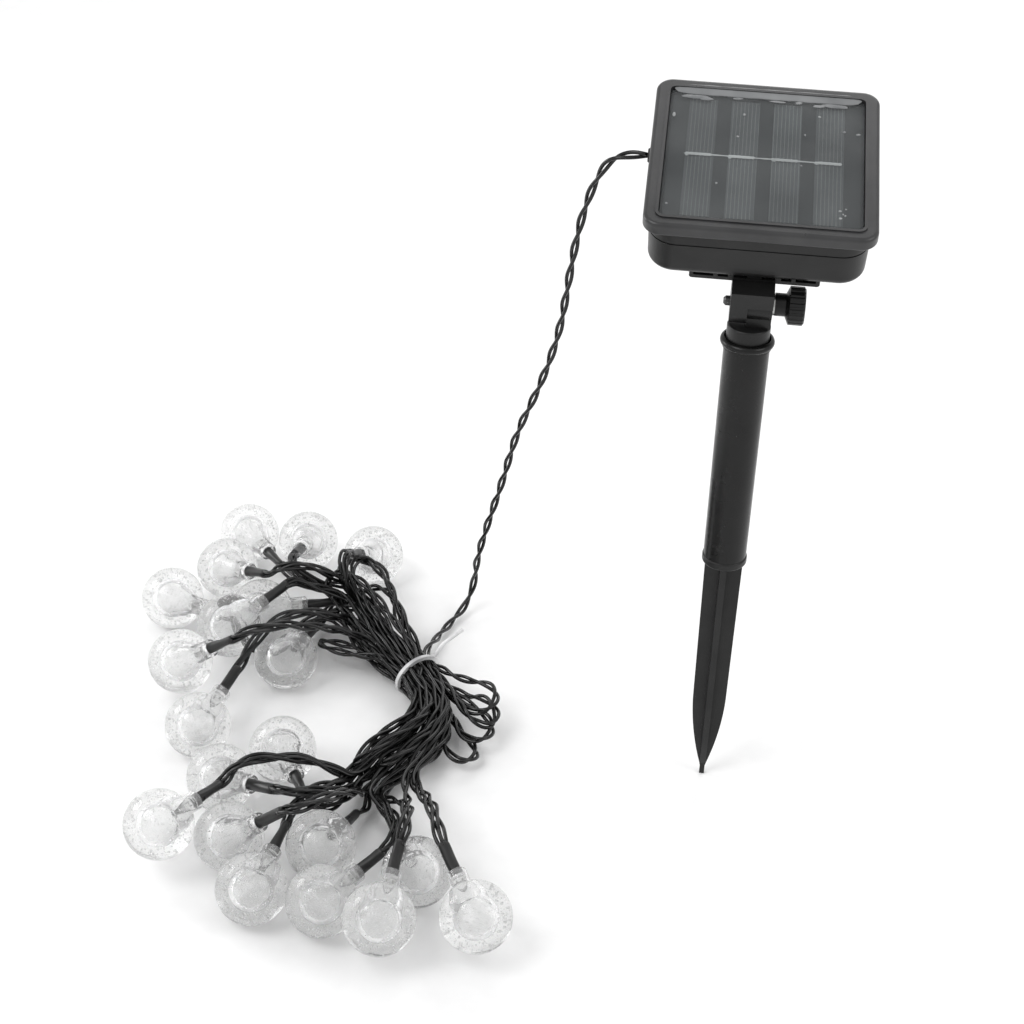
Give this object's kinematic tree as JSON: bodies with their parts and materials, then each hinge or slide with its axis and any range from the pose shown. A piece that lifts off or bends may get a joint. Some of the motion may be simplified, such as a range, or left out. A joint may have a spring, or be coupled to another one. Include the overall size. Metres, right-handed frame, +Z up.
{
  "type": "solar string lights",
  "caption": "Solar string lights: a tilting solar panel head on a ground stake, a twisted lead and a tied hank of clear bubble globes on black wire",
  "frame": {"origin": "tip of the spike, on the surface that the string lies on", "axes": "+Z up along the stake; -Y is the front of the panel, its low edge; the hinge's axis is X"},
  "size_m": [0.323, 0.306, 0.3028],
  "materials": {
    "black_abs": "satin injection-moulded ABS",
    "clear_acrylic": "clear acrylic full of fine bubbles",
    "panel_clear": "clear resin cover, grey-black through its depth",
    "panel_black": "dark backing board",
    "silicon": "thin-film cell, fine lines",
    "tinned": "tinned ribbon",
    "pvc_black": "black PVC insulation with a gloss",
    "shrink_black": "shrink sleeve",
    "rubber_black": "moulded rubber",
    "steel_black": "blackened steel",
    "steel": "zinc plated steel",
    "tie_white": "white plastic-covered wire",
    "led_lens": "clear epoxy lamp",
    "board_green": "solder mask",
    "battery_skin": "plain plastic sleeve on a steel can"
  },
  "bodies": {
    "root": {"spike": "black_abs", "stake_tube": "black_abs"},
    "post": {"swivel_post": "black_abs", "hinge_washer": "steel", "lead_cord": "pvc_black", "hank_upper": "pvc_black", "hank_lower": "pvc_black", "twist_tie": "tie_white", "bulb_tails": "pvc_black", "led_lamps": "led_lens", "lamp_sleeves": "shrink_black", "crystal_globe_01": "clear_acrylic", "crystal_globe_02": "clear_acrylic", "crystal_globe_03": "clear_acrylic", "crystal_globe_04": "clear_acrylic", "crystal_globe_05": "clear_acrylic", "crystal_globe_06": "clear_acrylic", "crystal_globe_07": "clear_acrylic", "crystal_globe_08": "clear_acrylic", "crystal_globe_09": "clear_acrylic", "crystal_globe_10": "clear_acrylic", "crystal_globe_11": "clear_acrylic", "crystal_globe_12": "clear_acrylic", "crystal_globe_13": "clear_acrylic", "crystal_globe_14": "clear_acrylic", "crystal_globe_15": "clear_acrylic", "crystal_globe_16": "clear_acrylic", "crystal_globe_17": "clear_acrylic", "crystal_globe_18": "clear_acrylic", "crystal_globe_19": "clear_acrylic", "crystal_globe_20": "clear_acrylic"},
    "head": {"mount_bracket": "black_abs", "hinge_nut": "steel", "lower_casing": "black_abs", "casing_seal": "rubber_black", "upper_casing": "black_abs", "panel_frame": "black_abs", "panel_board": "panel_black", "solar_cells": "silicon", "bus_ribbon": "tinned", "panel_cover": "panel_clear", "battery_cell": "battery_skin", "battery_holder": "black_abs", "contact_plate": "steel", "contact_spring": "steel", "circuit_board": "board_green", "board_components": "panel_black", "tact_switches": "panel_black", "button_seals": "rubber_black", "casing_screws": "steel", "cable_gland": "rubber_black", "panel_wires": "pvc_black"},
    "knob": {"tilt_knob": "black_abs", "hinge_bolt": "steel_black"},
    "power_key": {"power_button": "rubber_black"},
    "mode_key": {"mode_button": "rubber_black"}
  },
  "joints": [
    {"name": "post_swivel", "type": "hinge", "parent": "root", "child": "post", "pos_m": [0, 0, 0.215], "axis": [0, 0, 1], "range_deg": [-90, 90]},
    {"name": "head_tilt", "type": "hinge", "parent": "post", "child": "head", "pos_m": [0, 0, 0.24], "axis": [1, 0, 0], "range_deg": [-46, 73]},
    {"name": "knob_turn", "type": "hinge", "parent": "post", "child": "knob", "pos_m": [0, 0, 0.24], "axis": [1, 0, 0], "range_deg": [-180, 180]},
    {"name": "power_press", "type": "slide", "parent": "head", "child": "power_key", "axis": [0, -0.2807, 0.9598], "range_m": [0, 0.0006], "stiffness_N_per_m": 800, "springref_m": -0.0006},
    {"name": "mode_press", "type": "slide", "parent": "head", "child": "mode_key", "axis": [0, -0.2807, 0.9598], "range_m": [0, 0.0006], "stiffness_N_per_m": 800, "springref_m": -0.0006}
  ]
}
